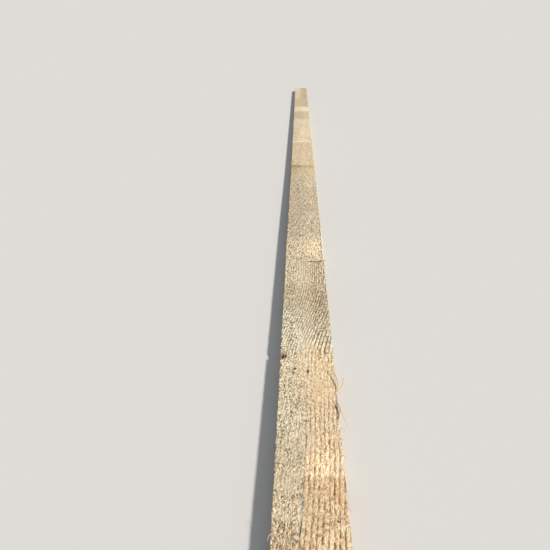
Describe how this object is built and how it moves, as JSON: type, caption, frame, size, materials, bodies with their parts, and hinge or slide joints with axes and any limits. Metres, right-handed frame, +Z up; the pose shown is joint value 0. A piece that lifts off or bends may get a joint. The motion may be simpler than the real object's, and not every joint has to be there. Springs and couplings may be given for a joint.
{
  "type": "timber lumber plank",
  "caption": "Rough-sawn softwood plank, flat and long, with square-cut ends, blunted arrises, drying checks and a broken edge knot.",
  "frame": {"origin": "centre of the bounding box at the underside, where the plank rests on the floor", "axes": "+Y along the grain towards the far end, +X across the plank towards its right edge, +Z up out of the top face"},
  "size_m": [0.1, 4, 0.032],
  "materials": {
    "sawn_softwood": "rough sawn, weathered"
  },
  "bodies": {
    "root": {"plank": "sawn_softwood"}
  },
  "joints": []
}
